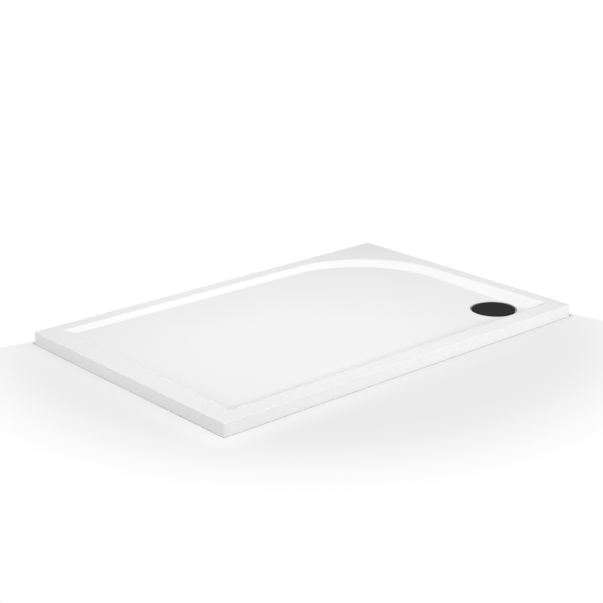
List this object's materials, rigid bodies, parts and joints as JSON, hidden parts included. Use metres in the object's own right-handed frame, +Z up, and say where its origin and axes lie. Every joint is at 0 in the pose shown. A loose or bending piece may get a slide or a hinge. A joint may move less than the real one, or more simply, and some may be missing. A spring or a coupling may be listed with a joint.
{
  "type": "shower tray",
  "caption": "Low rectangular shower tray with a sloping basin, one large rounded inner corner and a round waste whose cover, strainer and dip tube lift out.",
  "frame": {"origin": "centre of the tray's underside, on the floor that the tray lies on; the trap hangs below it in a pit", "axes": "+X along the long side towards the waste end, +Y towards the wall behind the long side, +Z up"},
  "size_m": [1.2, 0.8, 0.128],
  "materials": {
    "white_acrylic": "gloss white formed acrylic sheet",
    "rigid_foam": "fine-celled rigid foam",
    "board": "moisture-resistant fibre board",
    "batten_wood": "planed softwood",
    "stainless": "brushed stainless steel",
    "brass": "turned brass",
    "seal_rubber": "black rubber",
    "trap_plastic": "moulded pale grey polypropylene",
    "insert_plastic": "moulded dark grey plastic",
    "nut_plastic": "moulded black plastic",
    "cover_black": "satin black cap"
  },
  "bodies": {
    "tray": {"tray_shell": "white_acrylic", "foam_core": "rigid_foam", "base_board": "board", "front_rim_batten": "batten_wood", "back_rim_batten": "batten_wood", "left_rim_batten": "batten_wood", "right_rim_batten": "batten_wood", "corner_block": "batten_wood", "upper_gasket": "seal_rubber", "lower_gasket": "seal_rubber", "waste_ring": "stainless", "flange_screws": "stainless", "screw_inserts": "brass", "trap_body": "trap_plastic", "outlet_washer": "seal_rubber", "outlet_tail": "trap_plastic", "outlet_nut": "nut_plastic"},
    "insert": {"trap_insert": "insert_plastic", "insert_seal": "seal_rubber"},
    "strainer": {"hair_strainer": "insert_plastic"},
    "cover": {"waste_cover": "cover_black", "cover_carrier": "nut_plastic"}
  },
  "joints": [
    {"name": "insert_lift", "type": "slide", "parent": "tray", "child": "insert", "axis": [0, 0, 1], "range_m": [0, 0.095]},
    {"name": "strainer_lift", "type": "slide", "parent": "insert", "child": "strainer", "axis": [0, 0, 1], "range_m": [0, 0.03]},
    {"name": "cover_lift", "type": "slide", "parent": "strainer", "child": "cover", "axis": [0, 0, 1], "range_m": [0, 0.03]}
  ]
}
